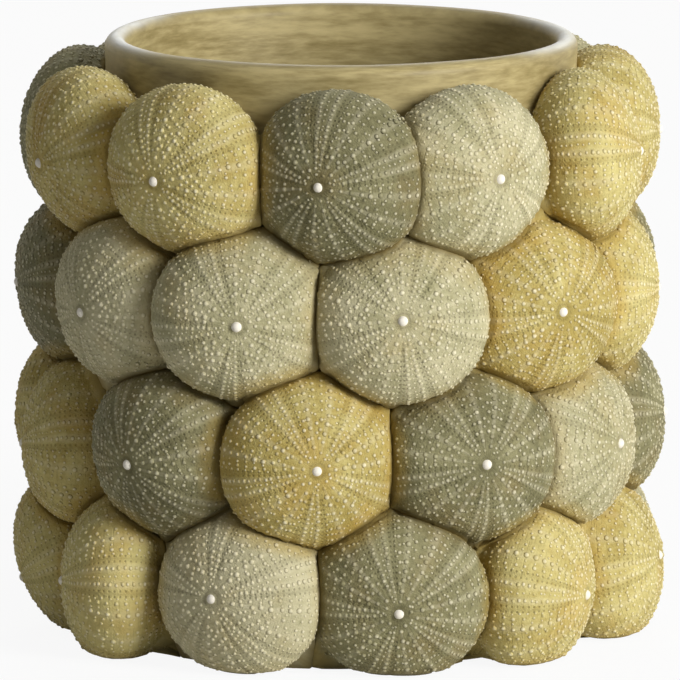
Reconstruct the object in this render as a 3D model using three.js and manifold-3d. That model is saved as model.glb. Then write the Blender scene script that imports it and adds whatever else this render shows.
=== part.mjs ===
// Round flower vase: a plain pot with a rolled lip, its outside covered by four staggered rows of
// sea-urchin shells. Millimetres, +Z up. The origin is the centre of the underside, -Y is the front.
import * as THREE from "three";
import { mergeVertices } from "three/addons/utils/BufferGeometryUtils.js";
import Module from "manifold-3d";

// Pot
const POT_HEIGHT = 184.3;
const WALL_RADIUS = 72.5;
const WALL_THICKNESS = 6.4;
const LIP_OVERHANG = 0.2;
const LIP_BLEND = 10;
const FLOOR_THICKNESS = 8;
const FOOT_CHAMFER = 1.2;
const INNER_FILLET = 6;
const POT_SIDES = 48;
const LIP_STEPS = 6;
const FILLET_STEPS = 3;

// Urchin shells
const SHELLS_PER_ROW = 11;
const SHELL_WIDTH = 55;
const SHELL_HEIGHT = 52.6;
const CROWN_RISE = 18;
const SHELL_CENTRE_RADIUS = 82.3;
const APEX_BEAD_RADIUS = 1.7;
const APEX_BEAD_PROUD = 0.8;
const GLUE_GAP = 0.3;
const SHELL_SIDES = 16;
const SHELL_BANDS = 8;
const BEAD_SIDES = 6;
const BEAD_BANDS = 3;
// Swell that leaves the flat facets of a dome half inside and half outside its true curve
const FACET_SWELL = 1.012;

// Paint
const TONES = { mustard: 0xb5a35c, slate: 0x6f7058, sage: 0xa5a584 };
const SHELL_ROUGHNESS = 0.85;
const POT_COLOUR = 0xa8965f;
const POT_ROUGHNESS = 0.75;

// Each row starts with its front shell and runs round to the right. A shell has its tone and, in whole
// degrees, its shift to the right of an even spacing and the lean of its crown to the right and upwards.
// A fifth number, where there is one, is how many millimetres the shell sits above its row.
const ROWS = [
  {
    name: "top",
    height: 152.3,
    frontAngle: -2.3,
    shells: [
      ["slate", 2, -21, -3], ["sage", -3, 7, 0], ["mustard", 0, 27, 4], ["mustard", 5, -11, 0],
      ["sage", 1, 8, -4], ["slate", 0, -9, 2], ["mustard", -1, 6, 5], ["sage", 0, -5, -6],
      ["slate", 0, 4, 2], ["mustard", 0, 3, -8], ["mustard", 1, -2, -5],
    ],
  },
  {
    name: "upper",
    height: 109,
    frontAngle: 12.3,
    shells: [
      ["sage", 0, -9, 6], ["mustard", 0, -15, 2], ["mustard", -3, 15, 0], ["slate", 1, 9, -3],
      ["sage", 0, -7, 4], ["mustard", -1, 5, 3], ["slate", 0, 10, -5], ["mustard", 0, -8, 2],
      ["slate", 0, 4, -2], ["sage", 1, 0, -5], ["sage", -1, 17, -2],
    ],
  },
  {
    name: "lower",
    height: 65,
    frontAngle: -5.8,
    shells: [
      ["mustard", -1, 15, 1], ["slate", 1, -10, 2], ["sage", -2, 4, 2], ["slate", 0, -4, 3],
      ["mustard", 0, 7, -5], ["sage", 1, -9, 3], ["mustard", 0, 4, 4], ["slate", -1, -6, -4],
      ["mustard", 3, -15, 0], ["mustard", -6, -12, -1, -5], ["slate", -1, -5, -6],
    ],
  },
  {
    name: "bottom",
    height: 22.2,
    frontAngle: 11.2,
    shells: [
      ["slate", 1, -12, -6, 1], ["mustard", 1, 26, -5], ["mustard", 3, -2, 8], ["sage", 1, 6, -2],
      ["slate", -1, -8, 4], ["mustard", 0, 9, 3], ["sage", 1, -4, -4], ["slate", 0, 7, 5],
      ["mustard", 2, -3, -22], ["mustard", -1, -32, 0], ["sage", 0, -9, 2, 2],
    ],
  },
];

const UP = new THREE.Vector3(0, 0, 1);
const wasm = await Module();
wasm.setup();

// Geometry to a solid that can be cut and joined
function solidFrom(geometry) {
  const bare = geometry.clone();
  bare.deleteAttribute("normal");
  bare.deleteAttribute("uv");
  const merged = mergeVertices(bare);
  return new wasm.Manifold(
    new wasm.Mesh({
      numProp: 3,
      vertProperties: new Float32Array(merged.attributes.position.array),
      triVerts: new Uint32Array(merged.index.array),
    }),
  );
}

// A solid back to geometry
function geometryFrom(solid) {
  const mesh = solid.getMesh();
  const geometry = new THREE.BufferGeometry();
  geometry.setAttribute("position", new THREE.BufferAttribute(new Float32Array(mesh.vertProperties), 3));
  geometry.setIndex(new THREE.BufferAttribute(new Uint32Array(mesh.triVerts), 1));
  geometry.computeVertexNormals();
  return geometry;
}

// Points of a circular arc in a lathe profile, both ends included
function arc(centreX, centreY, radius, startDegrees, endDegrees, steps) {
  const points = [];
  for (let i = 0; i <= steps; i += 1) {
    const angle = THREE.MathUtils.degToRad(THREE.MathUtils.lerp(startDegrees, endDegrees, i / steps));
    points.push(new THREE.Vector2(centreX + radius * Math.cos(angle), centreY + radius * Math.sin(angle)));
  }
  return points;
}

// Pot: flat underside, straight wall, full-round lip and a filleted inside
function potGeometry() {
  const innerRadius = WALL_RADIUS - WALL_THICKNESS;
  const lipRadius = (WALL_THICKNESS + LIP_OVERHANG) / 2;
  const profile = [
    new THREE.Vector2(0, 0),
    new THREE.Vector2(WALL_RADIUS - FOOT_CHAMFER, 0),
    new THREE.Vector2(WALL_RADIUS, FOOT_CHAMFER),
    new THREE.Vector2(WALL_RADIUS, POT_HEIGHT - LIP_BLEND),
    ...arc(innerRadius + lipRadius, POT_HEIGHT - lipRadius, lipRadius, 0, 180, LIP_STEPS),
    ...arc(innerRadius - INNER_FILLET, FLOOR_THICKNESS + INNER_FILLET, INNER_FILLET, 0, -90, FILLET_STEPS),
    new THREE.Vector2(0, FLOOR_THICKNESS),
  ];
  return new THREE.LatheGeometry(profile, POT_SIDES).rotateX(Math.PI / 2);
}

// Room that the wall and its glue bed take from the backs of the shells
function wallCutter() {
  const radius = WALL_RADIUS + GLUE_GAP;
  const cylinder = new THREE.CylinderGeometry(radius, radius, 2 * POT_HEIGHT, POT_SIDES);
  return solidFrom(cylinder.rotateX(Math.PI / 2));
}

// Where a shell sits: its centre, and the turn that takes +Y to its leaning axis
function shellPlacement(row, index) {
  const [tone, shift, leanRight, leanUp, rise = 0] = row.shells[index];
  const azimuth = THREE.MathUtils.degToRad(row.frontAngle + shift + (index * 360) / SHELLS_PER_ROW);
  const outward = new THREE.Vector3(Math.sin(azimuth), -Math.cos(azimuth), 0);
  const right = new THREE.Vector3(Math.cos(azimuth), Math.sin(azimuth), 0);
  const axis = outward
    .clone()
    .addScaledVector(right, Math.tan(THREE.MathUtils.degToRad(leanRight)))
    .addScaledVector(UP, Math.tan(THREE.MathUtils.degToRad(leanUp)))
    .normalize();
  const across = right.clone().addScaledVector(axis, -right.dot(axis)).normalize();
  return {
    name: `urchin_${row.name}_${String(index + 1).padStart(2, "0")}`,
    colour: TONES[tone],
    centre: outward.multiplyScalar(SHELL_CENTRE_RADIUS).addScaledVector(UP, row.height + rise),
    turn: new THREE.Matrix4().makeBasis(across, axis, across.clone().cross(axis)),
  };
}

// Shell about its own centre: a flattened dome with an apex bead, trimmed halfway to each neighbour,
// at the wall and at the floor
function shellGeometry(placement, neighbours, wall) {
  const place = placement.turn.clone().setPosition(placement.centre);
  const dome = new THREE.SphereGeometry(FACET_SWELL, SHELL_SIDES, SHELL_BANDS);
  dome.scale(SHELL_WIDTH / 2, CROWN_RISE, SHELL_HEIGHT / 2).applyMatrix4(place);
  const bead = new THREE.SphereGeometry(APEX_BEAD_RADIUS, BEAD_SIDES, BEAD_BANDS);
  bead.translate(0, CROWN_RISE + APEX_BEAD_PROUD - APEX_BEAD_RADIUS, 0).applyMatrix4(place);
  let solid = solidFrom(dome).add(solidFrom(bead));
  for (const neighbour of neighbours) {
    const middle = placement.centre.clone().add(neighbour.centre).divideScalar(2);
    const inward = placement.centre.clone().sub(neighbour.centre).normalize();
    solid = solid.trimByPlane(inward.toArray(), inward.dot(middle) + GLUE_GAP / 2);
  }
  solid = solid.subtract(wall).trimByPlane(UP.toArray(), 0);
  return geometryFrom(solid).translate(...placement.centre.clone().negate());
}

function paint(colour, roughness) {
  return new THREE.MeshStandardMaterial({ color: colour, roughness, metalness: 0 });
}

const vase = new THREE.Group();

const pot = new THREE.Mesh(potGeometry(), paint(POT_COLOUR, POT_ROUGHNESS));
pot.name = "pot";
vase.add(pot);

const wall = wallCutter();
const rings = ROWS.map((row) => row.shells.map((shell, index) => shellPlacement(row, index)));
const everyShell = rings.flat();
for (const ring of rings) {
  const ringGroup = new THREE.Group();
  for (const placement of ring) {
    const neighbours = everyShell.filter((other) => {
      const distance = other.centre.distanceTo(placement.centre);
      return distance > 0 && distance < FACET_SWELL * SHELL_WIDTH;
    });
    const shell = new THREE.Mesh(
      shellGeometry(placement, neighbours, wall),
      paint(placement.colour, SHELL_ROUGHNESS),
    );
    shell.name = placement.name;
    shell.position.copy(placement.centre);
    ringGroup.add(shell);
  }
  vase.add(ringGroup);
}

export default vase;
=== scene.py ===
import math
from typing import NamedTuple

import bpy
import numpy as np
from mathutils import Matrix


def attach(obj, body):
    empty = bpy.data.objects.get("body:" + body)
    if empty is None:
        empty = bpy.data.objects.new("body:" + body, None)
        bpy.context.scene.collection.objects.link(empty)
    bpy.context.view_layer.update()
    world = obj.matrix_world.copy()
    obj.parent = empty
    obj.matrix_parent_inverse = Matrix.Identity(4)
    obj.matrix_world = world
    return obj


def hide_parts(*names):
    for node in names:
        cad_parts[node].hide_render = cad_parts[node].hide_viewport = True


# Looks of the sea-urchin flower vase. Shapes are worked out in millimetres and put down in metres, in the
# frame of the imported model: +Z up, front on -Y, origin under the middle of the pot.
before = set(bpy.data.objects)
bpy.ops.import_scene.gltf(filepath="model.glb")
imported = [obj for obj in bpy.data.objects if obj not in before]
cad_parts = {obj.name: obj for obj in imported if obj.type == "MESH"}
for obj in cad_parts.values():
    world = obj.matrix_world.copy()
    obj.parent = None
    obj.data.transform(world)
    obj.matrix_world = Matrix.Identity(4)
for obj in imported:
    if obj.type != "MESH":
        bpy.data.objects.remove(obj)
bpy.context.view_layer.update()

MM = 0.001
UP = np.array([0.0, 0.0, 1.0])

# Pot
POT_HEIGHT = 184.3
WALL_RADIUS = 72.5
WALL_THICKNESS = 6.4
LIP_OVERHANG = 0.2
LIP_BLEND = 10.0
FLOOR_THICKNESS = 8.0
FOOT_ROUND = 1.2
INNER_FILLET = 6.0
POT_COLUMNS = 192
LIP_WANDER = 0.22
LIP_WANDER_DEPTH = 16.0
# Radius past which a point is on the wall, and not on the floor or the underside
WALL_ZONE = 50.0
# Heights over which the pot's painted shade fades behind the shells, at the foot and inside, depth of
# the lip's crest, and how far to the sides the lip has its painted sheen, as a share of its radius
SHELL_SHADE = (145.0, 172.0)
FOOT_SHADE = (6.0, 30.0)
INSIDE_SHADE = (20.0, 150.0)
LIP_CREST = 1.2
SHEEN_SIDES = (0.72, 0.98)

# Urchin shells
SHELLS_PER_ROW = 11
SHELL_WIDTH = 55.0
SHELL_HEIGHT = 52.6
CROWN_RISE = 18.0
SHELL_HALVES = np.array([SHELL_WIDTH / 2, CROWN_RISE, SHELL_HEIGHT / 2])
SHELL_CENTRE_RADIUS = 82.3
NEIGHBOUR_REACH = 1.2 * SHELL_WIDTH
GLUE_GAP = 0.3
SEAM_GAP = 0.04
CAST_WANDER = 0.22

# Bed that fills the hollows between the shells: its rise over the wall, the heights where it rises and
# ends, how closely it runs into the domes and the wall, and how far out a hollow is filled, in domes,
# beside the bare wall and among the shells
BED_RISE = 10.5
BED_FOOT = (-8.0, 16.0)
BED_TOP = (140.0, 160.0)
SEAM_BLEND = 90.0
WALL_BLEND = 26.0
LEAST_LEVEL = 0.5
FILLET_REACH = 1.1
HOLLOW_REACH = 1.5
HOLLOW_STEPS = 12
HALVINGS = 7
# How far the fill stands over the dome where the pattern fades and where the tan paint of the bed begins
PATTERN_FADE = (0.6, 2.0)
TAN_BED = (0.6, 3.0)

# Edge of a shell: steepest run of its angle against its turn, how far and from where the skin turns down
# to it, how far the seam's stains and its wash, which is partly painted shade, reach, in domes, and the
# power by which the nearest cut counts most
EDGE_SLOPE = 5.0
EDGE_ROUND = 0.9
EDGE_REACH = 0.06
SEAM_MARK_REACH = 0.34
NEARNESS_POWER = 16
FIRST_EDGE_ANGLE = 0.3
WIDEST_ANGLE = 2.5
EDGE_SAMPLES = 133

# Grid of a shell
COLUMNS_PER_FIFTH = 26
CROWN_RINGS = 38
FLANK_RINGS = 12
FLANK_BUNCHING = 1.4
# Added density of its columns, and over how many degrees, at the pore bands and at the middle lines
BAND_COLUMNS = (2.4, 3.0)
LINE_COLUMNS = (1.2, 2.5)
TURN_SAMPLES = 7201
ARC_SAMPLES = 501
# Angle from the axis past which a shell is hidden and plain
BACK_ANGLE = 2.0
# Radius on a shell's flat map of its edge, and what is left outside it for the back
MAP_EDGE = 0.43
MAP_BACK = 0.066

# Pattern of one fifth of a shell, in degrees from the middle of its bead field
FIFTH = 72.0
MAIN_ROW = 10.4
PORE_BAND = 24.3
NARROW_ROW = 30.6
# Relief of a shell: heights and depths, widths in degrees, or in millimetres for the moat round the apex
# bead, the range from the apex in which the rest fades in, and the wash that each groove holds, which in
# the moat is partly painted shade
FIELD_SWELL = 0.1
BAND_DEPTH = 0.12
BAND_WIDTH = 2.2
BAND_WASH = 0.6
LINE_DEPTH = 0.04
LINE_WIDTH = 1.3
LINE_WASH = 0.35
NARROW_LINE = 0.8
MOAT_RADIUS = 2.3
MOAT_DEPTH = 0.35
MOAT_WIDTH = 0.7
MOAT_WASH_AND_SHADE = 0.8
RELIEF_START = (2.5, 10.0)
# Fine marks of the paint: pitches along a row, the two lines of pores beside the middle of a band, ranges in
# which a mark fades out sideways and fades in from the apex, and the cylinder that streaks are read on
PORE_PITCH = 1.7
PORE_LINES = (-1.6, 2.0)
PORE_EDGE = (0.2, 0.5)
PORE_START = (5.0, 9.0)
PLATE_PITCH = 3.0
SUTURE_EDGE = (0.06, 0.24)
SUTURE_FIELD = (20.0, 22.0)
SUTURE_START = (6.0, 12.0)
MAIN_RAY = (1.0, 4.5)
NARROW_RAY = (1.0, 4.0)
RAY_START = (3.0, 9.0)
STREAK_RING = 11.0
STREAK_RUN = 0.22
STREAK_EDGE = (0.3, 0.7)

# Rows of beads in one fifth: degrees from the middle, bead radius, width of a bead as a share of its
# length, pitch, first bead's distance from the apex, and how far along its pitch the row starts
BEAD_ROWS = (
    (-MAIN_ROW, 0.64, 1.0, 3.0, 4.2, 0.0),
    (MAIN_ROW, 0.64, 1.0, 3.0, 4.2, 0.5),
    (-NARROW_ROW, 0.46, 1.2, 1.8, 4.0, 0.5),
    (NARROW_ROW, 0.46, 1.2, 1.8, 4.0, 0.0),
    (-18.3, 0.50, 1.0, 3.0, 8.6, 0.4),
    (18.3, 0.50, 1.0, 3.0, 8.6, 0.9),
    (-3.4, 0.48, 1.0, 3.0, 10.0, 0.5),
    (3.4, 0.48, 1.0, 3.0, 10.0, 0.0),
    (-14.4, 0.36, 1.0, 3.0, 14.5, 0.5),
    (14.4, 0.36, 1.0, 3.0, 14.5, 0.0),
    (36.0, 0.34, 1.0, 1.8, 12.0, 0.0),
    (-6.9, 0.34, 1.0, 3.0, 15.5, 0.8),
    (6.9, 0.34, 1.0, 3.0, 15.5, 0.3),
    (-21.4, 0.32, 1.0, 2.4, 14.5, 0.2),
    (21.4, 0.32, 1.0, 2.4, 14.5, 0.7),
)
BEAD_SIDES = 6
# Outline of a bead from its buried foot to its top: radius and height in bead radii, paint on it, and wash
# at its foot that is partly painted shade
BEAD_OUTLINE = np.array([
    (0.0, -0.40, 0.0, 0.0),
    (1.40, -0.05, 0.0, 0.6),
    (0.95, 0.32, 0.5, 0.0),
    (0.56, 0.60, 1.0, 0.0),
    (0.0, 0.70, 1.0, 0.0),
])
# Room that a bead keeps to the edge, in domes, how high the fill under it may stand over the dome, its room
# to the floor, and the room to the edge from which it has its full size and its full paint
EDGE_CLEARANCE = 0.03
BED_CLEARANCE = 1.5
FLOOR_CLEARANCE = 1.2
FULL_SIZE = 0.1
FULL_PAINT = 0.16
# Size and paint of a bead where it has least room to the edge, and its size by the apex, from where it grows
EDGE_SIZE = 0.75
EDGE_PAINT = 0.6
APEX_SIZE = 0.74
APEX_GROWTH = (3.0, 10.0)
# Unevenness of the beads: nudges round and along, the least radius for the first, range of the size, and
# mean, spread and least of the paint
NUDGE_ROUND = 0.15
NUDGE_ALONG = 0.17
NUDGE_RADIUS = 4.0
SIZE_RANGE = (0.8, 1.15)
PAINT_SPREAD = (0.78, 0.28)
LEAST_PAINT = 0.15
APEX_BEAD_RADIUS = 1.7
APEX_BEAD_PROUD = 0.8
APEX_BEAD_SIDES = 16
APEX_BEAD_BANDS = 10
APEX_PAINT = 2.0

# Each row has its height, the angle of its front shell and its shells from there round to the right: tone,
# shift to the right of an even spacing and lean of the crown to the right and upwards, in degrees. A fifth
# number, where there is one, is how many millimetres the shell sits above its row.
ROWS = {
    "top": (152.3, -2.3, (
        ("slate", 2, -21, -3), ("sage", -3, 7, 0), ("mustard", 0, 27, 4), ("mustard", 5, -11, 0),
        ("sage", 1, 8, -4), ("slate", 0, -9, 2), ("mustard", -1, 6, 5), ("sage", 0, -5, -6),
        ("slate", 0, 4, 2), ("mustard", 0, 3, -8), ("mustard", 1, -2, -5),
    )),
    "upper": (109.0, 12.3, (
        ("sage", 0, -9, 6), ("mustard", 0, -15, 2), ("mustard", -3, 15, 0), ("slate", 1, 9, -3),
        ("sage", 0, -7, 4), ("mustard", -1, 5, 3), ("slate", 0, 10, -5), ("mustard", 0, -8, 2),
        ("slate", 0, 4, -2), ("sage", 1, 0, -5), ("sage", -1, 17, -2),
    )),
    "lower": (65.0, -5.8, (
        ("mustard", -1, 15, 1), ("slate", 1, -10, 2), ("sage", -2, 4, 2), ("slate", 0, -4, 3),
        ("mustard", 0, 7, -5), ("sage", 1, -9, 3), ("mustard", 0, 4, 4), ("slate", -1, -6, -4),
        ("mustard", 3, -15, 0), ("mustard", -6, -12, -1, -5), ("slate", -1, -5, -6),
    )),
    "bottom": (22.2, 11.2, (
        ("slate", 1, -12, -6, 1), ("mustard", 1, 26, -5), ("mustard", 3, -2, 8), ("sage", 1, 6, -2),
        ("slate", -1, -8, 4), ("mustard", 0, 9, 3), ("sage", 1, -4, -4), ("slate", 0, 7, 5),
        ("mustard", 2, -3, -22), ("mustard", -1, -32, 0), ("sage", 0, -9, 2, 2),
    )),
}
# Shells that the photograph shows: degrees that the pattern is turned by, and paleness of the paint
# Their paleness is partly painted light and shade: the palest, at the left of the bottom row, stand in for
# light thrown up from the floor, and the darkest, at the far left of the upper row, for shade
SEEN = {
    "top_01": (17, -0.2), "top_02": (0, -0.1), "top_03": (13, 0.9), "top_04": (11, 0.1),
    "top_11": (71, 0.7),
    "upper_01": (44, 0.4), "upper_02": (62, -0.9), "upper_03": (6, 0.9), "upper_09": (20, -1.8),
    "upper_10": (61, 0.7), "upper_11": (63, -0.2),
    "lower_01": (57, -0.9), "lower_02": (57, -0.3), "lower_03": (36, -0.1), "lower_04": (14, 0.4),
    "lower_10": (18, 0.3), "lower_11": (69, -0.1),
    "bottom_01": (71, 0.7), "bottom_02": (10, 0.7), "bottom_03": (71, 0.4), "bottom_10": (23, 2.4),
    "bottom_11": (17, 2.2),
}
# The patterns of the other shells turn by even steps, and their paleness is a seeded draw
TURN_STEP = 137.5
PALENESS_SEED = 7
BEAD_SEED = 500
CASTING_SEED = 40

# Paint, as sRGB. A tone has its deep, pale and warm colours and the cover of the cream on its beads.
TONES = {
    "mustard": ((164, 145, 77), (205, 192, 129), (188, 151, 70), 0.8),
    "sage": ((154, 149, 110), (198, 190, 154), (172, 151, 93), 0.8),
    "slate": ((105, 101, 69), (153, 148, 110), (129, 108, 60), 0.66),
}
SHELL_GLOSS = 0.18
CREAM = (236, 228, 198)
APEX_WHITE = (238, 231, 216)
# Dark wash in the grooves, also painted shade in the seams, round the bead feet, in the moat and on the pot
WASH_AND_SHADE = (46, 38, 16)
OVERSPRAY = (178, 152, 72)
BED_TONE = (150, 131, 76)
POT_TONES = ((136, 121, 76), (191, 175, 125))
# Pale painted sheen on the lip's left and right ends
POT_SHEEN = (236, 236, 228)
POT_GLOSS = 0.25
# Coats over the base paint: scale of their grain, and the most that they cover
RAY_COAT = (700.0, 0.22)
# Recess: dark wash in the grooves, partly painted shade round the feet of the beads and in the moat
RECESS_COAT = (900.0, 0.8)
WARM_COAT = (330.0, 0.4)
SPRAY_COAT = (240.0, 0.46)
# Seam: dark wash that is partly painted shade
SEAM_COAT = (260.0, 0.2)
# Pot: painted shade behind the shells and deep inside, and darker patches
POT_SHADE_AND_PATCH_COAT = (60.0, 0.6)
# Pot's lip: pale painted sheen at its left and right ends
POT_SHEEN_COAT = (60.0, 1.0)
BEAD_GRAIN = 500.0
# Cover of the streaks, of the tan on the bed and of the pale speckle, and scale of the speckle
STREAK_COVER = 0.3
BED_COVER = 0.75
SPECKLE_COVER = 0.16
SPECKLE_SCALE = 1500.0
# Roughness from the deep to the pale tone, and depth of the bump in metres
SHELL_ROUGHNESS = (0.66, 0.84)
POT_ROUGHNESS = (0.42, 0.56)
SHELL_BUMP = 0.0003
POT_BUMP = 0.0005

# Stand-ins for no distance and for no cut within reach
TINY = 1e-9
NO_CUT = 1e6


def unit(vectors):
    """Vectors divided by their length."""
    return vectors / np.linalg.norm(vectors, axis=-1, keepdims=True)


def ramp(low, high, values):
    """Smooth step: 0 below low, 1 above high, and 3t squared less 2t cubed between."""
    t = np.clip((values - low) / (high - low), 0.0, 1.0)
    return t * t * (3.0 - 2.0 * t)


def grown(least, low, high, values):
    """Least below low, 1 above high, and a smooth step between."""
    return least + (1.0 - least) * ramp(low, high, values)


def bell(values, middle, width):
    """Bell curve: e to the power of minus the squared distance from the middle, in widths."""
    return np.exp(-(((values - middle) / width) ** 2))


def linear(colour):
    """sRGB numbers from 0 to 255 as the linear colour that a shader takes, with alpha 1."""
    share = np.array(colour, float) / 255.0
    value = np.where(share <= 0.04045, share / 12.92, ((share + 0.055) / 1.055) ** 2.4)
    return (*value.tolist(), 1.0)


# Meshes


def put_down(name, points, faces, marks=None, maps=None):
    """A mesh object at the origin from points in millimetres and arrays of faces. Marks are numbers for
    each point, and maps give a place for each corner in the order of the faces."""
    mesh = bpy.data.meshes.new(name)
    corners = np.concatenate([group.ravel() for group in faces]).astype(np.int32)
    sizes = np.concatenate([np.full(len(group), group.shape[1]) for group in faces])
    starts = np.concatenate(([0], np.cumsum(sizes)[:-1])).astype(np.int32)
    mesh.vertices.add(len(points))
    mesh.vertices.foreach_set("co", (points * MM).astype(np.float32).ravel())
    mesh.loops.add(len(corners))
    mesh.loops.foreach_set("vertex_index", corners)
    mesh.polygons.add(len(sizes))
    mesh.polygons.foreach_set("loop_start", starts)
    for mark_name, values in (marks or {}).items():
        layer = mesh.attributes.new(mark_name, "FLOAT", "POINT")
        layer.data.foreach_set("value", np.asarray(values, np.float32))
    for title, places in (maps or {}).items():
        layer = mesh.uv_layers.new(name=title, do_init=False)
        layer.uv.foreach_set("vector", np.asarray(places, np.float32).ravel())
    mesh.update(calc_edges=True)
    mesh.shade_smooth()
    made = bpy.data.objects.new(name, mesh)
    bpy.context.scene.collection.objects.link(made)
    return made


def closed_grid(rings, columns):
    """Faces of a closed surface whose points are a first pole, rings and a last pole: a fan of triangles
    at each pole and quads between the rings. They face outwards where the columns run with the clock seen
    from the first pole."""
    here = np.arange(columns)
    after = (here + 1) % columns
    first = np.stack([np.zeros(columns, int), 1 + after, 1 + here], 1)
    ring = 1 + columns * np.arange(rings - 1)[:, None]
    below = ring + columns
    quads = np.stack([ring + after, below + after, below + here, ring + here], 2).reshape(-1, 4)
    start = 1 + columns * (rings - 1)
    last = np.stack([np.full(columns, 1 + columns * rings), start + here, start + after], 1)
    return first, quads, last


def solid_of_turning(outline, sides):
    """Points round the third axis of an outline given as radius and height from pole to pole."""
    angle = np.arange(sides) / sides * 2 * np.pi
    radius, height = outline[1:-1, 0], outline[1:-1, 1]
    rings = np.stack([
        radius[:, None] * np.cos(angle),
        radius[:, None] * np.sin(angle),
        np.broadcast_to(height[:, None], (len(radius), sides)),
    ], 2).reshape(-1, 3)
    ends = np.array([[0.0, 0.0, outline[0, 1]], [0.0, 0.0, outline[-1, 1]]])
    return np.concatenate([ends[:1], rings, ends[1:]])


# Places of the urchin shells


class Shell(NamedTuple):
    """A placed shell. Its axes are three rows: across, out through the apex, and along."""

    number: int
    name: str
    tone: str
    centre: np.ndarray
    axes: np.ndarray
    spin: float
    paleness_and_light: float


def all_shells():
    """Every shell, placed as in the solids: the centre lies on a ring round the pot, the axis is the
    outward direction leaned by the two tangents, across is the rightward direction square to the axis, and
    along is across times axis."""
    draw = np.random.default_rng(PALENESS_SEED)
    shells = []
    for row, (height, front, places) in ROWS.items():
        for index, (tone, shift, right, up, *rise) in enumerate(places):
            number = len(shells)
            name = f"{row}_{index + 1:02d}"
            unseen = TURN_STEP * number % FIFTH, draw.uniform(-1.0, 1.0)
            spin, paleness_and_light = SEEN.get(name, unseen)
            azimuth = np.radians(front + shift + index * 360.0 / SHELLS_PER_ROW)
            outward = np.array([np.sin(azimuth), -np.cos(azimuth), 0.0])
            rightward = np.array([np.cos(azimuth), np.sin(azimuth), 0.0])
            lean = np.tan(np.radians([right, up]))
            axis = unit(outward + lean[0] * rightward + lean[1] * UP)
            across = unit(rightward - (rightward * axis).sum() * axis)
            centre = outward * SHELL_CENTRE_RADIUS + (height + sum(rise)) * UP
            axes = np.stack([across, axis, np.cross(across, axis)])
            shells.append(Shell(number, name, tone, centre, axes, np.radians(spin), paleness_and_light))
    return shells


def neighbours_of(shell, shells):
    """The other shells that are near enough to meet a shell."""
    gaps = [np.linalg.norm(other.centre - shell.centre) for other in shells]
    return [other for other, gap in zip(shells, gaps) if 0 < gap < NEIGHBOUR_REACH]


# Skin of a shell


def toward(angle, turn):
    """Unit directions in a shell's own axes at an angle from its axis and a turn round it."""
    angle, turn = np.broadcast_arrays(angle, turn)
    return np.stack([np.sin(angle) * np.cos(turn), np.cos(angle), np.sin(angle) * np.sin(turn)], -1)


def dome_reach(local):
    """Distance from a shell's centre to its plain dome along unit directions given in its own axes: an
    ellipsoid, one over the root of the squared shares of the half widths."""
    return 1.0 / np.sqrt(((local / SHELL_HALVES) ** 2).sum(-1))


def in_half_widths(shell):
    """The matrix that turns an offset into a shell's own axes and counts it in its half widths."""
    return shell.axes / SHELL_HALVES[:, None]


def rays_among(neighbours, centre, ways):
    """Rays from a centre as each neighbour counts them, in its half widths: where they start, and how far
    they go for each millimetre."""
    shapes = np.stack([in_half_widths(other) for other in neighbours])
    centres = np.stack([other.centre for other in neighbours])
    start = np.einsum("kxy,ky->kx", shapes, centre - centres)
    return start, np.einsum("kxy,...y->...kx", shapes, ways)


def cut_reach(shell, neighbours, ways):
    """Distance from a shell's centre to the nearest cut along unit directions: the surface where a point
    is as far out from a neighbour as from the shell, each counted in its own half widths, which is the
    root of a quadratic; the floor; and the pot's wall, which is where the ray first meets the wall's
    cylinder. Also the share of each neighbour, floor last, in being the nearest: a power of its nearness
    over the sum of all."""
    start, step = rays_among(neighbours, shell.centre, ways)
    own = ((ways @ in_half_widths(shell).T) ** 2).sum(-1)[..., None]
    facing = -(step * start).sum(-1)
    far = (start**2).sum(-1)
    root = facing**2 + (own - (step**2).sum(-1)) * far
    below = facing + np.sqrt(np.maximum(root, 0.0))
    meets = (root > 0) & (below > TINY)
    spans = np.where(meets, far / np.maximum(below, TINY) - SEAM_GAP / 2, NO_CUT)
    floor = shell.centre[2] / np.maximum(-ways[..., 2:], TINY)
    spans = np.concatenate([spans, floor], -1)
    nearest = spans.min(-1)
    nearness = (nearest[..., None] / spans) ** NEARNESS_POWER

    flat, middle = ways[..., :2], shell.centre[:2]
    square = (flat**2).sum(-1)
    closing = flat @ middle
    inside = closing**2 - square * ((middle**2).sum() - (WALL_RADIUS + GLUE_GAP) ** 2)
    hits = (inside > 0) & (closing < 0)
    wall = (-closing - np.sqrt(np.maximum(inside, 0))) / np.maximum(square, TINY)
    return np.minimum(nearest, np.where(hits, wall, NO_CUT)), nearness / nearness.sum(-1, keepdims=True)


def bed_share(height):
    """Share of its rise that the bed has at a height: all of it among the shells, less towards the floor
    and none where the wall shows above them."""
    return ramp(*BED_FOOT, height) * (1.0 - ramp(*BED_TOP, height))


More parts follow.
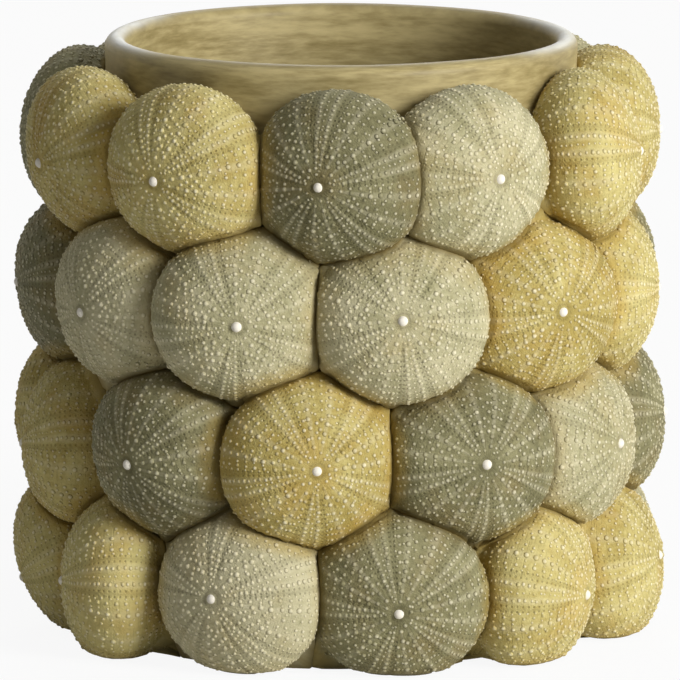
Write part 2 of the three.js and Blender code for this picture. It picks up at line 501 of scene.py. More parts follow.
def cast_reach(shell, neighbours, ways, dome):
    """Distance from a shell's centre to its skin along unit directions, given that to its dome: the first
    place outside the dome where the power sum of how far out it is from the shell, its neighbours and the
    bed falls below 1, found by widening steps and then by halving. So the hollows are filled a little, as
    in a casting."""
    start, step = rays_among(neighbours, shell.centre, ways)

    def filled(reach):
        """Whether the place at a distance is filled."""
        out = np.linalg.norm(start + step * reach[:, None, None], axis=-1)
        place = shell.centre + ways * reach[:, None]
        above = np.hypot(place[:, 0], place[:, 1]) - WALL_RADIUS - BED_RISE * bed_share(place[:, 2])
        bed = np.maximum(1.0 + above / WALL_BLEND, LEAST_LEVEL)
        return (reach / dome) ** -SEAM_BLEND + (out**-SEAM_BLEND).sum(-1) + bed**-SEAM_BLEND > 1.0

    among_shells = 1.0 - ramp(*BED_TOP, shell.centre[2] + ways[:, 2] * dome)
    limit = dome * (FILLET_REACH - 1.0 + (HOLLOW_REACH - FILLET_REACH) * among_shells)
    low, high = dome, dome + limit
    inside = np.ones(len(dome), bool)
    for widening in range(1, HOLLOW_STEPS + 1):
        middle = dome + limit * (widening / HOLLOW_STEPS) ** 2
        leaves = inside & ~filled(middle)
        high = np.where(leaves, middle, high)
        inside &= ~leaves
        low = np.where(inside, middle, low)
    for _ in range(HALVINGS):
        middle = (low + high) / 2
        more = filled(middle)
        low, high = np.where(more, middle, low), np.where(more, high, middle)
    return low


def skin_reach(shell, neighbours, local, lift):
    """Distances from a shell's centre along unit directions in its own axes: to its skin, given how far
    that stands over the dome, to the dome and to the cuts. Also the neighbours' shares in the cuts. The
    skin turns down towards the cuts by the square of how near they are."""
    ways = local @ shell.axes
    dome = dome_reach(local)
    cut, shares = cut_reach(shell, neighbours, ways)
    near = np.clip(1.0 - (cut / dome - 1.0) / EDGE_REACH, 0.0, 1.0)
    reach = cast_reach(shell, neighbours, ways, dome + lift) - EDGE_ROUND * near**2
    return reach, dome, cut, shares


def edge_angle(shell, neighbours, turn):
    """Angle from a shell's axis at which the cuts come nearer than the skin, for each turn, held to a
    slope against the turns beside it."""
    angle = np.linspace(FIRST_EDGE_ANGLE, WIDEST_ANGLE, EDGE_SAMPLES)
    local = toward(angle[None], turn[:, None]).reshape(-1, 3)
    reach, _, cut, _ = skin_reach(shell, neighbours, local, 0.0)
    room = (cut - reach).reshape(len(turn), len(angle))
    past = room < 0
    past[:, -1] = True
    after = np.maximum(past.argmax(1), 1)
    column = np.arange(len(turn))
    before, beyond = room[column, after - 1], room[column, after]
    share = np.clip(before / np.maximum(before - beyond, TINY), 0.0, 1.0)
    edge = angle[after - 1] + share * (angle[after] - angle[after - 1])
    apart = np.abs((turn[:, None] - turn + np.pi) % (2 * np.pi) - np.pi)
    return (edge + EDGE_SLOPE * apart).min(1)


def meridian():
    """Angles from a shell's axis, and the distance from the apex to each along a dome of mean width: the
    running sum of the steps between points of the ellipse."""
    angle = np.linspace(0.0, WIDEST_ANGLE, ARC_SAMPLES)
    reach = dome_reach(toward(angle, np.pi / 4))
    path = np.stack([reach * np.sin(angle), reach * np.cos(angle)], 1)
    steps = np.linalg.norm(np.diff(path, axis=0), axis=1)
    return angle, np.concatenate(([0.0], np.cumsum(steps)))


MERIDIAN_ANGLE, MERIDIAN_ARC = meridian()


def in_fifth(turn):
    """Degrees from the middle of the nearest bead field for an angle round the axis."""
    return (np.degrees(turn) + FIFTH / 2) % FIFTH - FIFTH / 2


def column_turns():
    """Angles of a shell's columns: even steps of a running sum whose density rises at the pore
    bands and at the middle lines, where the fine grooves need more points."""
    turn = np.linspace(0.0, 2 * np.pi, TURN_SAMPLES)
    place = np.abs(in_fifth(turn))
    more, width = BAND_COLUMNS
    density = 1.0 + more * bell(place, PORE_BAND, width)
    more, width = LINE_COLUMNS
    density += more * bell(place, 0.0, width) + more * bell(place, FIFTH / 2, width)
    total = np.concatenate(([0.0], np.cumsum((density[1:] + density[:-1]) / 2)))
    columns = 5 * COLUMNS_PER_FIFTH
    return np.interp(np.arange(columns) / columns * total[-1], total, turn)


def relief(turn, arc):
    """Height of a shell's skin over the plain dome, and the depth of its grooves from 0 to 1. A bead field
    swells with the cosine of five times the angle; bell curves sink the pore bands, the middle lines and a
    moat round the apex bead; all but the moat fade out near the apex."""
    place = np.abs(in_fifth(turn))
    fade = ramp(*RELIEF_START, arc)
    band = bell(place, PORE_BAND, BAND_WIDTH)
    line = bell(place, 0.0, LINE_WIDTH) + NARROW_LINE * bell(place, FIFTH / 2, LINE_WIDTH)
    moat = bell(arc, MOAT_RADIUS, MOAT_WIDTH)
    swell = FIELD_SWELL * np.cos(np.radians(5 * place))
    height = fade * (swell - BAND_DEPTH * band - LINE_DEPTH * line) - MOAT_DEPTH * moat
    groove = fade * np.maximum(BAND_WASH * band, LINE_WASH * line)
    return height, np.maximum(groove, MOAT_WASH_AND_SHADE * moat)


def unevenness(shell, local):
    """Slow unevenness of a casting by hand, where unit directions meet the dome: the mean of three sine
    waves in seeded directions."""
    draw = np.random.default_rng(CASTING_SEED + shell.number)
    waves = unit(draw.normal(size=(3, 3))) * draw.uniform(0.12, 0.3, size=(3, 1))
    points = local * dome_reach(local)[:, None]
    return CAST_WANDER * np.sin(points @ waves.T + draw.uniform(0.0, 2 * np.pi, 3)).mean(-1)


# Parts of a shell


class Part(NamedTuple):
    """Closed shapes about a shell's centre and in its axes. Marks are numbers for each point, and the
    pattern is a place for each corner: fifths round the apex, and millimetres from it."""

    points: np.ndarray
    faces: list
    marks: dict
    pattern: np.ndarray


def seam_share(room):
    """How near the seam a place is, from 0 to 1, by its room to the cut in domes."""
    return np.clip(1.0 - room / SEAM_MARK_REACH, 0.0, 1.0)


def golden_share(neighbours, shares):
    """Share of the mustard neighbours in the nearest cut."""
    golden = [other.tone == "mustard" for other in neighbours]
    return shares @ np.array([*golden, False], float)


def skin_part(shell, neighbours, turn, edge):
    """Skin of a shell, a distance from the centre for each direction of a polar grid: the dome with its
    relief, run together with its neighbours, as far as the cuts. The rings are even from the apex to the
    edge, and fewer from there to the back."""
    share = np.arange(1, CROWN_RINGS + 1) / CROWN_RINGS
    crown = share[:, None] * edge
    share = np.arange(1, FLANK_RINGS) / FLANK_RINGS
    flank = edge + (np.pi - edge) * share[:, None] ** FLANK_BUNCHING
    angle = np.concatenate([[0.0], np.concatenate([crown, flank]).ravel(), [np.pi]])
    rings = CROWN_RINGS + FLANK_RINGS - 1
    turns = np.concatenate([[0.0], np.tile(turn, rings), [0.0]])
    arc = np.interp(angle, MERIDIAN_ANGLE, MERIDIAN_ARC)
    height, groove = relief(turns, arc)
    local = toward(angle, turns + shell.spin)
    lift = height * (angle < BACK_ANGLE) + unevenness(shell, local)
    reach, dome, cut, shares = skin_reach(shell, neighbours, local, lift)
    seam = seam_share(cut / dome - 1.0)
    marks = {
        "recess": groove,
        "seam": seam,
        "spray": seam * golden_share(neighbours, shares),
        "skin": 1.0 - ramp(*PATTERN_FADE, reach - dome),
        "bed": ramp(*TAN_BED, reach - dome),
    }
    faces = closed_grid(rings, len(turn))
    pole = np.zeros(len(turn))
    following = np.append(turn[1:], 2 * np.pi)
    corner_turns = np.concatenate([
        np.stack([pole, following, turn], 1).ravel(),
        np.tile(np.stack([following, following, turn, turn], 1).ravel(), rings - 1),
        np.stack([pole, turn, following], 1).ravel(),
    ])
    corner = np.concatenate([group.ravel() for group in faces])
    pattern = np.stack([corner_turns / np.radians(FIFTH), arc[corner]], 1)
    return Part(local * np.minimum(reach, cut)[:, None], list(faces), marks, pattern)


def bead_places(draw):
    """Turn, distance from the apex, size, width and paint of every bead: each row of a fifth, five times
    round, at its pitch from its first bead, nudged a little and painted unevenly."""
    rows = []
    for degrees, radius, wide, pitch, first, phase in BEAD_ROWS:
        along = np.arange(first + phase * pitch, MERIDIAN_ARC[-1], pitch)
        fifths = np.arange(5)[:, None] * FIFTH + degrees
        rows.append([grid.ravel() for grid in np.broadcast_arrays(np.radians(fifths), along, radius, wide)])
    turn, arc, size, width = (np.concatenate(values) for values in zip(*rows))
    count = len(turn)
    turn = turn + draw.normal(0.0, NUDGE_ROUND, count) / np.maximum(arc, NUDGE_RADIUS)
    arc = arc + draw.normal(0.0, NUDGE_ALONG, count)
    size = size * draw.uniform(*SIZE_RANGE, count) * grown(APEX_SIZE, *APEX_GROWTH, arc)
    paint = np.clip(draw.normal(*PAINT_SPREAD, count), LEAST_PAINT, 1.0)
    return turn, arc, size, width, paint


def bead_part(shell, neighbours):
    """Beads of a shell: one small solid of turning, set on the skin along the rows and square to the dome,
    where there is room for it. Beads near the edge are smaller and have less paint."""
    turn, arc, size, width, paint = bead_places(np.random.default_rng(BEAD_SEED + shell.number))
    local = toward(np.interp(arc, MERIDIAN_ARC, MERIDIAN_ANGLE), turn + shell.spin)
    lift = relief(turn, arc)[0] + unevenness(shell, local)
    reach, dome, cut, shares = skin_reach(shell, neighbours, local, lift)
    room = cut / dome - 1.0
    height = (local @ shell.axes)[:, 2] * dome + shell.centre[2]
    stays = (room > EDGE_CLEARANCE) & (reach - dome < BED_CLEARANCE) & (height > FLOOR_CLEARANCE)
    foot = (local * reach[:, None])[stays]
    turn, arc, width, room, shares = turn[stays], arc[stays], width[stays], room[stays], shares[stays]
    size = size[stays] * grown(EDGE_SIZE, EDGE_CLEARANCE, FULL_SIZE, room)
    paint = paint[stays] * grown(EDGE_PAINT, EDGE_CLEARANCE, FULL_PAINT, room)
    square = unit(foot / SHELL_HALVES**2)
    side = unit(np.cross(np.array([0.0, 1.0, 0.0]), square))
    turned = np.stack([side * width[:, None], np.cross(square, side), square], 1)
    bead = solid_of_turning(BEAD_OUTLINE[:, :2], BEAD_SIDES)
    beads = foot[:, None] + np.einsum("pk,bkx->bpx", bead, turned) * size[:, None, None]
    per_ring = np.concatenate([[1], np.full(len(BEAD_OUTLINE) - 2, BEAD_SIDES), [1]])
    on_bead = np.repeat(BEAD_OUTLINE[:, 2:], per_ring, axis=0)
    seam = seam_share(room)
    marks = {
        "bead": (paint[:, None] * on_bead[:, 0]).ravel(),
        "recess": np.tile(on_bead[:, 1], len(foot)),
        "seam": np.repeat(seam, len(bead)),
        "spray": np.repeat(seam * golden_share(neighbours, shares), len(bead)),
    }
    start = len(bead) * np.arange(len(foot))[:, None, None]
    grid = closed_grid(len(BEAD_OUTLINE) - 2, BEAD_SIDES)
    faces = [(start + group).reshape(-1, group.shape[1]) for group in grid]
    corner = np.concatenate([group.ravel() for group in faces]) // len(bead)
    pattern = np.stack([turn[corner] / np.radians(FIFTH), arc[corner]], 1)
    return Part(beads.reshape(-1, 3), faces, marks, pattern)


def apex_part():
    """The round white bead on the apex of a shell."""
    fall = np.linspace(np.pi, 0.0, APEX_BEAD_BANDS + 1)
    outline = APEX_BEAD_RADIUS * np.stack([np.sin(fall), np.cos(fall)], 1)
    ball = solid_of_turning(outline, APEX_BEAD_SIDES)[:, [1, 2, 0]]
    points = ball + np.array([0.0, CROWN_RISE + APEX_BEAD_PROUD - APEX_BEAD_RADIUS, 0.0])
    faces = closed_grid(APEX_BEAD_BANDS - 1, APEX_BEAD_SIDES)
    corners = sum(group.size for group in faces)
    return Part(points, list(faces), {"bead": np.full(len(points), APEX_PAINT)}, np.zeros((corners, 2)))


def flat_place(points, spin, turn, edge):
    """Place of points on a shell's flat map: the angle from the axis, as a share of the edge's angle, is
    the distance from the middle, and what lies past the edge fills a thin outer ring."""
    way = unit(points)
    off = np.arccos(np.clip(way[:, 1], -1, 1))
    around = np.arctan2(way[:, 2], way[:, 0])
    columns, edges = np.append(turn, 2 * np.pi), np.append(edge, edge[0])
    rim = np.interp((around - spin) % (2 * np.pi), columns, edges)
    past = (off - rim) / (np.pi - rim)
    radius = np.where(off < rim, MAP_EDGE * off / rim, MAP_EDGE + MAP_BACK * np.clip(past, 0, 1))
    return 0.5 + radius[:, None] * np.stack([np.cos(around), np.sin(around)], 1)


def shell_piece(shell, shells):
    """One mesh of a shell's skin, beads and apex bead. A mark that a part lacks is 0 on it."""
    neighbours = neighbours_of(shell, shells)
    turn = column_turns()
    edge = edge_angle(shell, neighbours, turn + shell.spin)
    parts = [skin_part(shell, neighbours, turn, edge), bead_part(shell, neighbours), apex_part()]
    counts = [len(part.points) for part in parts]
    points = np.concatenate([part.points for part in parts])
    faces = []
    for part, start in zip(parts, np.cumsum([0, *counts])):
        faces += [start + group for group in part.faces]
    marks = {"tint_and_light": np.full(len(points), shell.paleness_and_light)}
    for name in ("bead", "recess", "seam", "spray", "skin", "bed"):
        values = [part.marks.get(name, np.zeros(count)) for part, count in zip(parts, counts)]
        marks[name] = np.concatenate(values)
    corner = np.concatenate([group.ravel() for group in faces])
    maps = {
        "OFBake": flat_place(points, shell.spin, turn, edge)[corner],
        "pattern": np.concatenate([part.pattern for part in parts]),
    }
    return put_down(f"shell_{shell.name}", points @ shell.axes + shell.centre, faces, marks, maps)


# Pot


def arc_points(middle, radius, start, end, steps):
    """Points of an arc in the outline's plane, from one angle to another in degrees."""
    angle = np.radians(np.linspace(start, end, steps + 1))
    return np.array(middle) + radius * np.stack([np.cos(angle), np.sin(angle)], 1)


def upright(radius, start, end, count):
    """Points of an upright line in the outline's plane."""
    return np.stack([np.full(count, radius), np.linspace(start, end, count)], 1)


def level(height, start, end, count):
    """Points of a level line in the outline's plane."""
    return np.stack([np.linspace(start, end, count), np.full(count, height)], 1)


def pot_piece():
    """The pot as one outline turned about +Z: from the middle of the underside out to a rounded foot, up
    the straight wall, over the full-round lip, down the inside and round the fillet to the middle of the
    floor. The lip wanders out by three slow sine waves and down by two."""
    inner = WALL_RADIUS - WALL_THICKNESS
    lip = (WALL_THICKNESS + LIP_OVERHANG) / 2
    fillet = FLOOR_THICKNESS + INNER_FILLET
    blend = np.linspace(0.0, 1.0, 9)[:-1]
    outline = np.concatenate([
        [[0.0, 0.0]],
        level(0.0, 12.0, WALL_RADIUS - FOOT_ROUND, 5),
        arc_points((WALL_RADIUS - FOOT_ROUND, FOOT_ROUND), FOOT_ROUND, -90, 0, 5)[1:],
        upright(WALL_RADIUS, 12.0, POT_HEIGHT - LIP_BLEND - 8.0, 12),
        np.stack([
            WALL_RADIUS + LIP_OVERHANG * ramp(0, 1, blend),
            POT_HEIGHT - LIP_BLEND + (LIP_BLEND - lip) * blend,
        ], 1),
        arc_points((inner + lip, POT_HEIGHT - lip), lip, 0, 180, 20),
        upright(inner, POT_HEIGHT - lip - 4.0, fillet + 3.0, 14),
        arc_points((inner - INNER_FILLET, fillet), INNER_FILLET, 0, -90, 8),
        level(FLOOR_THICKNESS, 50.0, 10.0, 5),
        [[0.0, FLOOR_THICKNESS]],
    ])
    points = solid_of_turning(outline, POT_COLUMNS)
    around = np.arctan2(points[:, 1], points[:, 0])
    on_wall = np.hypot(points[:, 0], points[:, 1]) > WALL_ZONE
    near_lip = ramp(POT_HEIGHT - LIP_WANDER_DEPTH, POT_HEIGHT, points[:, 2]) * on_wall
    out = np.sin(3 * around + 0.6) + 0.7 * np.sin(5 * around + 2.1) + 0.5 * np.sin(11 * around + 4.0)
    down = 1.0 + np.sin(2 * around + 1.0) + 0.5 * np.sin(7 * around)
    points[:, :2] *= (1.0 + LIP_WANDER * out * near_lip / 2.2 / WALL_RADIUS)[:, None]
    points[:, 2] -= LIP_WANDER * near_lip * down / 2.5

    rings = len(outline) - 2
    per_ring = np.concatenate([[1], np.full(rings, POT_COLUMNS), [1]])
    radius, height = np.repeat(outline, per_ring, axis=0).T
    # The lip's crest carries a pale painted sheen at its left and right ends, and is half darkened at the
    # front and back
    crest = bell(height, POT_HEIGHT, LIP_CREST) * (radius > WALL_ZONE)
    sideways = ramp(*SHEEN_SIDES, np.abs(np.cos(around)))
    inside = (radius < inner + lip) * (height > FLOOR_THICKNESS - 1.0)
    # Painted shade: darker on the wall behind the shells, less towards the foot, and deep inside
    shade_behind_shells = (1.0 - ramp(*SHELL_SHADE, height)) * (1.0 - inside) * ramp(*FOOT_SHADE, height)
    depth = inside * (1.0 - ramp(*INSIDE_SHADE, height))
    recess = np.maximum(np.maximum(shade_behind_shells, 0.55 * depth), 0.5 * crest * (1.0 - sideways))
    marks = {"crest": crest * sideways, "recess": recess}
    return put_down("pot_body", points, list(closed_grid(rings, POT_COLUMNS)), marks)


# Paint nodes


def node(tree, kind, inputs=None, **settings):
    """A new node with its settings, and its inputs by name or number, each a value or a socket to link."""
    made = tree.nodes.new(kind)
    for name, value in settings.items():
        setattr(made, name, value)
    for name, value in (inputs or {}).items():
        if isinstance(value, bpy.types.NodeSocket):
            tree.links.new(value, made.inputs[name])
        else:
            made.inputs[name].default_value = value
    return made


def calc(tree, operation, *values):
    """One step of arithmetic on values or sockets."""
    return node(tree, "ShaderNodeMath", dict(enumerate(values)), operation=operation).outputs[0]


def times(tree, *values):
    """Values or sockets multiplied."""
    product = values[0]
    for value in values[1:]:
        product = calc(tree, "MULTIPLY", product, value)
    return product


def between(tree, value, low, high, to_low=0.0, to_high=1.0):
    """A value carried smoothly from one range to another and held at its ends."""
    inputs = {"Value": value, "From Min": low, "From Max": high, "To Min": to_low, "To Max": to_high}
    return node(tree, "ShaderNodeMapRange", inputs, interpolation_type="SMOOTHSTEP").outputs[0]


def layered(tree, share, under, over):
    """One colour laid over another by a share."""
    return node(tree, "ShaderNodeMix", {0: share, 6: under, 7: over}, data_type="RGBA").outputs[2]


def noise(tree, vector, scale, detail=3.0, roughness=0.6):
    """Soft noise from 0 to 1 at a place."""
    inputs = {"Vector": vector, "Scale": scale, "Detail": detail, "Roughness": roughness}
    return node(tree, "ShaderNodeTexNoise", inputs).outputs[0]


def mark(tree, name):
    """A number that the mesh carries for each of its points."""
    return node(tree, "ShaderNodeAttribute", attribute_name=name).outputs["Fac"]


def group(name, inputs, outputs):
    """An empty node group with its named sockets, and its input and output nodes."""
    tree = bpy.data.node_groups.new(name, "ShaderNodeTree")
    for way, sockets in (("INPUT", inputs), ("OUTPUT", outputs)):
        for title, kind in sockets.items():
            tree.interface.new_socket(name=title, in_out=way, socket_type=f"NodeSocket{kind}")
    return tree, tree.nodes.new("NodeGroupInput").outputs, tree.nodes.new("NodeGroupOutput").inputs


def use(tree, made, **inputs):
    """A node group placed in a tree, with its inputs by their names."""
    return node(tree, "ShaderNodeGroup", inputs, node_tree=made).outputs


def mottled_paint():
    """Group: two tones of one paint, mixed by broad clouds and a finer grain."""
    tree, given, result = group(
        "Mottled paint",
        {"Vector": "Vector", "Deep": "Color", "Pale": "Color", "Scale": "Float", "Lean": "Float"},
        {"Color": "Color", "Cloud": "Float"},
    )
    broad = noise(tree, given["Vector"], given["Scale"], 4.0)
    fine = noise(tree, given["Vector"], times(tree, given["Scale"], 9.0))
    cloud = calc(tree, "MULTIPLY_ADD", fine, 0.45, times(tree, broad, 0.75))
    cloud = between(tree, calc(tree, "ADD", cloud, given["Lean"]), 0.41, 0.79)
    tree.links.new(layered(tree, cloud, given["Deep"], given["Pale"]), result["Color"])
    tree.links.new(cloud, result["Cloud"])
    return tree


# Sockets of a group that lays one colour over another
COAT = {
    "Vector": "Vector", "Color": "Color", "Over": "Color",
    "Share": "Float", "Scale": "Float", "Most": "Float",
}


def coat(tree, made, *values):
    """A colour with another laid over it by a group, its values in the order of the sockets."""
    return use(tree, made, **dict(zip(COAT, values)))["Color"]


def recess_wash_and_shade():
    """Group: dark wash and painted shade left where a surface lies low, its edge broken up by grain."""
    tree, given, result = group("Recess wash", COAT, {"Color": "Color"})
    grain = calc(tree, "SUBTRACT", noise(tree, given["Vector"], given["Scale"], 4.0), 0.5)
    depth = calc(tree, "MULTIPLY_ADD", grain, 0.5, given["Share"])
    share = times(tree, between(tree, depth, 0.12, 1.0), given["Most"])
    tree.links.new(layered(tree, share, given["Color"], given["Over"]), result["Color"])
    return tree


def dry_brush_and_sheen():
    """Group: pale paint caught on what stands proud, patchy by grain; on the pot's lip it lays a painted
    sheen.
    """
    tree, given, result = group("Dry brush", COAT, {"Color": "Color"})
    patch = between(tree, noise(tree, given["Vector"], given["Scale"]), 0.25, 0.7, 0.6, 1.0)
    share = calc(tree, "MINIMUM", times(tree, given["Share"], patch, given["Most"]), 1.0)
    tree.links.new(layered(tree, share, given["Color"], given["Over"]), result["Color"])
    return tree


def shell_pattern():
    """Group: fine marks of a shell's skin from its map, which counts fifths round the apex and millimetres
    from it. Pores are dots at a pitch along each pore band; sutures are thin lines across the plates, half
    a pitch apart on the two sides of a bead field; rays are soft bands along the main and the narrow rows
    of beads; streaks are noise drawn out from the apex, read on a cylinder so that it closes round it."""
    tree, given, result = group(
        "Shell pattern",
        {"Map": "Vector"},
        {"Pores": "Float", "Sutures": "Float", "Rays": "Float", "Streaks": "Float"},
    )
    fifths, arc, _ = node(tree, "ShaderNodeSeparateXYZ", {0: given["Map"]}).outputs
    place = calc(tree, "SUBTRACT", calc(tree, "FRACT", calc(tree, "ADD", fifths, 0.5)), 0.5)
    place = times(tree, place, FIFTH)
    off = calc(tree, "ABSOLUTE", place)

    radius = calc(tree, "SINE", times(tree, arc, 1.0 / 24.0))
    per_degree = times(tree, radius, math.radians(1.0) * SHELL_WIDTH * 0.47)
    steps = calc(tree, "FRACT", times(tree, arc, 1.0 / PORE_PITCH))
    down = calc(tree, "POWER", times(tree, calc(tree, "SUBTRACT", steps, 0.5), PORE_PITCH), 2.0)
    dots = []
    for beside in PORE_LINES:
        sideways = times(tree, calc(tree, "SUBTRACT", off, PORE_BAND + beside), per_degree)
        span = calc(tree, "SQRT", calc(tree, "ADD", calc(tree, "POWER", sideways, 2.0), down))
        dots.append(between(tree, span, *PORE_EDGE, 1.0, 0.0))
    pores = times(tree, calc(tree, "MAXIMUM", *dots), between(tree, arc, *PORE_START))

    half = times(tree, calc(tree, "GREATER_THAN", place, 0.0), 0.5)
    rows = calc(tree, "FRACT", calc(tree, "ADD", times(tree, arc, 1.0 / PLATE_PITCH), half))
    line = times(tree, calc(tree, "ABSOLUTE", calc(tree, "SUBTRACT", rows, 0.5)), PLATE_PITCH)
    on_line = between(tree, line, *SUTURE_EDGE, 1.0, 0.0)
    on_field = between(tree, off, *SUTURE_FIELD, 1.0, 0.0)
    sutures = times(tree, on_line, on_field, between(tree, arc, *SUTURE_START))

    bands = []
    for row, ray in ((MAIN_ROW, MAIN_RAY), (NARROW_ROW, NARROW_RAY)):
        aside = calc(tree, "ABSOLUTE", calc(tree, "SUBTRACT", off, row))
        bands.append(between(tree, aside, *ray, 1.0, 0.0))
    rays = times(tree, calc(tree, "MAXIMUM", *bands), between(tree, arc, *RAY_START))

    around = times(tree, fifths, 2 * math.pi / 5)
    ring = {
        0: times(tree, calc(tree, "COSINE", around), STREAK_RING),
        1: times(tree, calc(tree, "SINE", around), STREAK_RING),
        2: times(tree, arc, STREAK_RUN),
    }
    streaks = noise(tree, node(tree, "ShaderNodeCombineXYZ", ring).outputs[0], 1.0)
    streaks = between(tree, streaks, *STREAK_EDGE)
    for title, mask in zip(("Pores", "Sutures", "Rays", "Streaks"), (pores, sutures, rays, streaks)):
        tree.links.new(mask, result[title])
    return tree


def matte(name, gloss):
    """A material that has only a shader of a gloss and the output."""
    made = bpy.data.materials.new(name)
    made.use_nodes = True
    tree = made.node_tree
    tree.nodes.clear()
    shader = node(tree, "ShaderNodeBsdfPrincipled", {"Specular IOR Level": gloss})
    node(tree, "ShaderNodeOutputMaterial", {"Surface": shader.outputs[0]})
    return made, tree, shader


def shell_paint(name, groups):
    """Paint of one tone: mottled base with warm patches, rays and streaks, wash in the pores, sutures and
    seams, with painted shade in the seams, round the feet of the beads and in the moat round the apex bead,
    tan on the bed, cream beads and a white apex."""
    *colours, cover = TONES[name]
    deep, pale, warm = (linear(colour) for colour in colours)
    made, tree, shader = matte(f"{name}_paint", SHELL_GLOSS)
    place = node(tree, "ShaderNodeTexCoord").outputs["Object"]
    surface_map = node(tree, "ShaderNodeUVMap", uv_map="pattern").outputs[0]
    pattern = use(tree, groups["pattern"], Map=surface_map)
    skin, edge, bead = mark(tree, "skin"), mark(tree, "seam"), mark(tree, "bead")
    pores = times(tree, pattern["Pores"], skin)
    lines = times(tree, pattern["Sutures"], skin)
    low = calc(tree, "MAXIMUM", times(tree, pores, 0.5), times(tree, lines, 0.3))
    low = calc(tree, "MAXIMUM", low, times(tree, mark(tree, "recess"), 0.62))

    def washed(colour, wash, recess, scale, most):
        """A colour with wash and painted shade in its recesses."""
        return coat(tree, groups["wash"], place, colour, wash, recess, scale, most)

    def brushed(colour, proud, scale, most):
        """A colour with cream on what stands proud."""
        return coat(tree, groups["brush"], place, colour, linear(CREAM), proud, scale, most)

    # Paler or darker per shell, partly painted light and shade
    lean = times(tree, mark(tree, "tint_and_light"), 0.09)
    base = use(tree, groups["mottled"], Vector=place, Deep=deep, Pale=pale, Scale=70.0, Lean=lean)
    patches = between(tree, noise(tree, place, 62.0), 0.46, 0.72, 0.0, 0.42)
    colour = layered(tree, patches, base["Color"], warm)
    colour = brushed(colour, times(tree, pattern["Rays"], skin), *RAY_COAT)
    colour = layered(tree, times(tree, pattern["Streaks"], skin, STREAK_COVER), colour, deep)
    # Dark wash in the grooves, and painted shade round the feet of the beads and in the moat round the apex
    # bead
    colour = washed(colour, linear(WASH_AND_SHADE), low, *RECESS_COAT)
    colour = washed(colour, warm, calc(tree, "MULTIPLY_ADD", edge, 0.7, 0.1), *WARM_COAT)
    colour = washed(colour, linear(OVERSPRAY), mark(tree, "spray"), *SPRAY_COAT)
    colour = layered(tree, times(tree, mark(tree, "bed"), BED_COVER), colour, linear(BED_TONE))
    # Dark wash in the seams, partly painted shade
    colour = washed(colour, linear(WASH_AND_SHADE), between(tree, edge, 0.78, 1.0), *SEAM_COAT)
    colour = brushed(colour, calc(tree, "MINIMUM", bead, 1.0), BEAD_GRAIN, cover)
    apex = calc(tree, "MAXIMUM", calc(tree, "SUBTRACT", bead, 1.0), 0.0)
    colour = layered(tree, apex, colour, linear(APEX_WHITE))
    cells = node(tree, "ShaderNodeTexVoronoi", {"Vector": place, "Scale": SPECKLE_SCALE})
    speckle = between(tree, cells.outputs["Distance"], 0.1, 0.6, 1.0, 0.0)
    colour = layered(tree, times(tree, speckle, skin, SPECKLE_COVER), colour, pale)

    height = calc(tree, "MULTIPLY_ADD", pores, -1.0, times(tree, speckle, 0.35))
    height = calc(tree, "MULTIPLY_ADD", lines, -0.3, height)
    height = calc(tree, "MULTIPLY_ADD", pattern["Streaks"], -0.45, height)
    height = times(tree, height, skin)
    bump = node(tree, "ShaderNodeBump", {"Height": height, "Strength": 0.7, "Distance": SHELL_BUMP})
    tree.links.new(colour, shader.inputs["Base Color"])
    tree.links.new(between(tree, base["Cloud"], 0.0, 1.0, *SHELL_ROUGHNESS), shader.inputs["Roughness"])
    tree.links.new(bump.outputs[0], shader.inputs["Normal"])
    return made


def pot_paint(groups):
    """Wash of the pot: two olive-tan tones in blotches drawn out round it, darker patches, painted shade
    behind the shells and deep inside, darker along the lip's crest at the front and back, and a pale painted
    sheen on the crest at the left and right ends. A blotch reads a place whose third number is five times
    the height less the distance from the middle line, so that it is flat on wall, lip and floor."""
    made, tree, shader = matte("pot_wash_paint", POT_GLOSS)
    place = node(tree, "ShaderNodeTexCoord").outputs["Object"]
    x, y, z = node(tree, "ShaderNodeSeparateXYZ", {0: place}).outputs
    flat = node(tree, "ShaderNodeCombineXYZ", {0: x, 1: y}).outputs[0]
    out = node(tree, "ShaderNodeVectorMath", {0: flat}, operation="LENGTH").outputs["Value"]
    along = times(tree, calc(tree, "SUBTRACT", z, out), 5.0)
    drawn_out = node(tree, "ShaderNodeCombineXYZ", {0: x, 1: y, 2: along}).outputs[0]
    deep, pale = (linear(colour) for colour in POT_TONES)
    base = use(tree, groups["mottled"], Vector=drawn_out, Deep=deep, Pale=pale, Scale=14.0, Lean=0.02)
    patches = between(tree, noise(tree, drawn_out, 24.0, roughness=0.55), 0.5, 0.72)
    # Painted shade behind the shells and deep inside, with darker patches at random
    low = calc(tree, "MAXIMUM", mark(tree, "recess"), times(tree, patches, 0.28))
    dark = coat(tree, groups["wash"], drawn_out, base["Color"], linear(WASH_AND_SHADE), low, *POT_SHADE_AND_PATCH_COAT)
    # Pale painted sheen along the lip's crest at its left and right ends
    crest = mark(tree, "crest")
    lip_sheen = coat(tree, groups["brush"], drawn_out, dark, linear(POT_SHEEN), crest, *POT_SHEEN_COAT)
    streaks = noise(tree, drawn_out, 120.0, 4.0)
    bump = node(tree, "ShaderNodeBump", {"Height": streaks, "Strength": 0.15, "Distance": POT_BUMP})
    tree.links.new(lip_sheen, shader.inputs["Base Color"])
    tree.links.new(between(tree, base["Cloud"], 0.0, 1.0, *POT_ROUGHNESS), shader.inputs["Roughness"])
    tree.links.new(bump.outputs[0], shader.inputs["Normal"])
    return made


# The vase

paint_groups = {
    "mottled": mottled_paint(),
    "wash": recess_wash_and_shade(),
    "brush": dry_brush_and_sheen(),
    "pattern": shell_pattern(),
}
paints = {tone: shell_paint(tone, paint_groups) for tone in TONES}

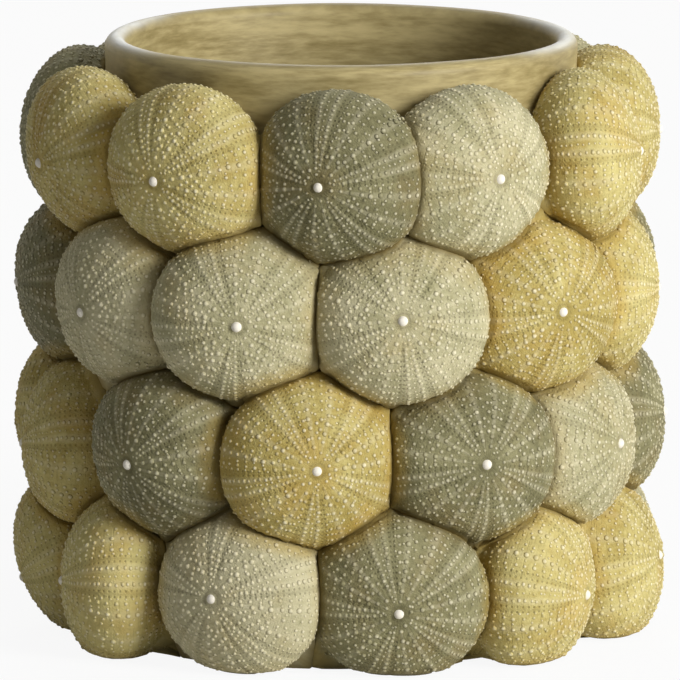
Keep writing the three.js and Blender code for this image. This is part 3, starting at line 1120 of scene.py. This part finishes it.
pot = pot_piece()
pot.data.materials.append(pot_paint(paint_groups))
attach(pot, "root")
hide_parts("pot")

every_shell = all_shells()
for placed in every_shell:
    piece = shell_piece(placed, every_shell)
    piece.data.materials.append(paints[placed.tone])
    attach(piece, "root")
    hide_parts(f"urchin_{placed.name}")

# Camera, from the front and a little above, as in the photograph

AIM = (-0.00031, 0.0, 0.088717)
CAMERA_ELEVATION = 9.498
CAMERA_DISTANCE = 3.384
VIEW_WIDTH = 0.21008
SENSOR_WIDTH = 36.0

camera_rise = math.radians(CAMERA_ELEVATION)
camera_data = bpy.data.cameras.new("camera")
camera_data.sensor_width = SENSOR_WIDTH
camera_data.lens = SENSOR_WIDTH * CAMERA_DISTANCE / VIEW_WIDTH
camera_data.clip_start = 0.1
camera_data.clip_end = 30.0
camera = bpy.data.objects.new("camera", camera_data)
camera.location = (
    AIM[0],
    AIM[1] - CAMERA_DISTANCE * math.cos(camera_rise),
    AIM[2] + CAMERA_DISTANCE * math.sin(camera_rise),
)
camera.rotation_euler = (math.pi / 2 - camera_rise, 0.0, 0.0)
bpy.context.scene.collection.objects.link(camera)
bpy.context.scene.camera = camera

# Floor, world and lamps

FLOOR_SIZE = 12.0
FLOOR_DROP = 0.0002
FLOOR_COLOUR = (0.86, 0.86, 0.85, 1.0)
FLOOR_WHITE = 0.92
WORLD_LEVEL = 0.01
WHITE = (1.0, 1.0, 1.0, 1.0)


def sees_white(tree):
    """1 for rays from the camera, and for those that it sees through or in a gloss."""
    path = node(tree, "ShaderNodeLightPath").outputs
    seen = calc(tree, "MAXIMUM", path["Is Camera Ray"], path["Is Glossy Ray"])
    return calc(tree, "MAXIMUM", seen, path["Is Transmission Ray"])


def floor_piece():
    """A flat square under the vase."""
    half = FLOOR_SIZE / 2 / MM
    points = np.array([[-half, -half, 0], [half, -half, 0], [half, half, 0], [-half, half, 0]], float)
    points[:, 2] = -FLOOR_DROP / MM
    made = put_down("floor", points, [np.array([[0, 1, 2, 3]])])
    paper = bpy.data.materials.new("floor_paper")
    paper.use_nodes = True
    tree = paper.node_tree
    tree.nodes.clear()
    lit = node(tree, "ShaderNodeBsdfDiffuse", {"Color": FLOOR_COLOUR}).outputs[0]
    white = node(tree, "ShaderNodeEmission", {"Color": WHITE, "Strength": 1.0}).outputs[0]
    share = times(tree, sees_white(tree), FLOOR_WHITE)
    mixed = node(tree, "ShaderNodeMixShader", {0: share, 1: lit, 2: white}).outputs[0]
    node(tree, "ShaderNodeOutputMaterial", {"Surface": mixed})
    made.data.materials.append(paper)
    return made


floor_piece()

world = bpy.data.worlds.new("studio")
bpy.context.scene.world = world
world.use_nodes = True
studio = world.node_tree
studio.nodes.clear()
strength = between(studio, sees_white(studio), 0.0, 1.0, WORLD_LEVEL, 1.0)
sky = node(studio, "ShaderNodeBackground", {"Color": WHITE, "Strength": strength})
node(studio, "ShaderNodeOutputWorld", {"Surface": sky.outputs[0]})


def lamp(name, azimuth, elevation, distance, size, power):
    """A square soft box at a distance from the vase's middle, facing it."""
    data = bpy.data.lights.new(name, "AREA")
    data.shape = "SQUARE"
    data.size = size
    data.energy = power
    made = bpy.data.objects.new(name, data)
    turn, rise = math.radians(azimuth), math.radians(elevation)
    made.location = (
        distance * math.sin(turn) * math.cos(rise),
        -distance * math.cos(turn) * math.cos(rise),
        POT_HEIGHT / 2 * MM + distance * math.sin(rise),
    )
    made.rotation_euler = (math.pi / 2 - rise, 0.0, turn)
    bpy.context.scene.collection.objects.link(made)


# Azimuth from the front to the right, height angle, distance, size and power of each soft box
LAMPS = {
    "key": (46.0, 18.0, 2.2, 0.8, 51.0),
    "right_fill": (100.0, 20.0, 2.2, 1.1, 6.2),
    "top_fill": (20.0, 72.0, 2.2, 1.1, 3.8),
    "left_fill": (-70.0, 55.0, 2.2, 1.1, 4.2),
    "back_fill": (180.0, 40.0, 2.2, 1.1, 14.0),
}
for lamp_name, soft_box in LAMPS.items():
    lamp(lamp_name, *soft_box)

bpy.context.scene.view_settings.view_transform = "Standard"
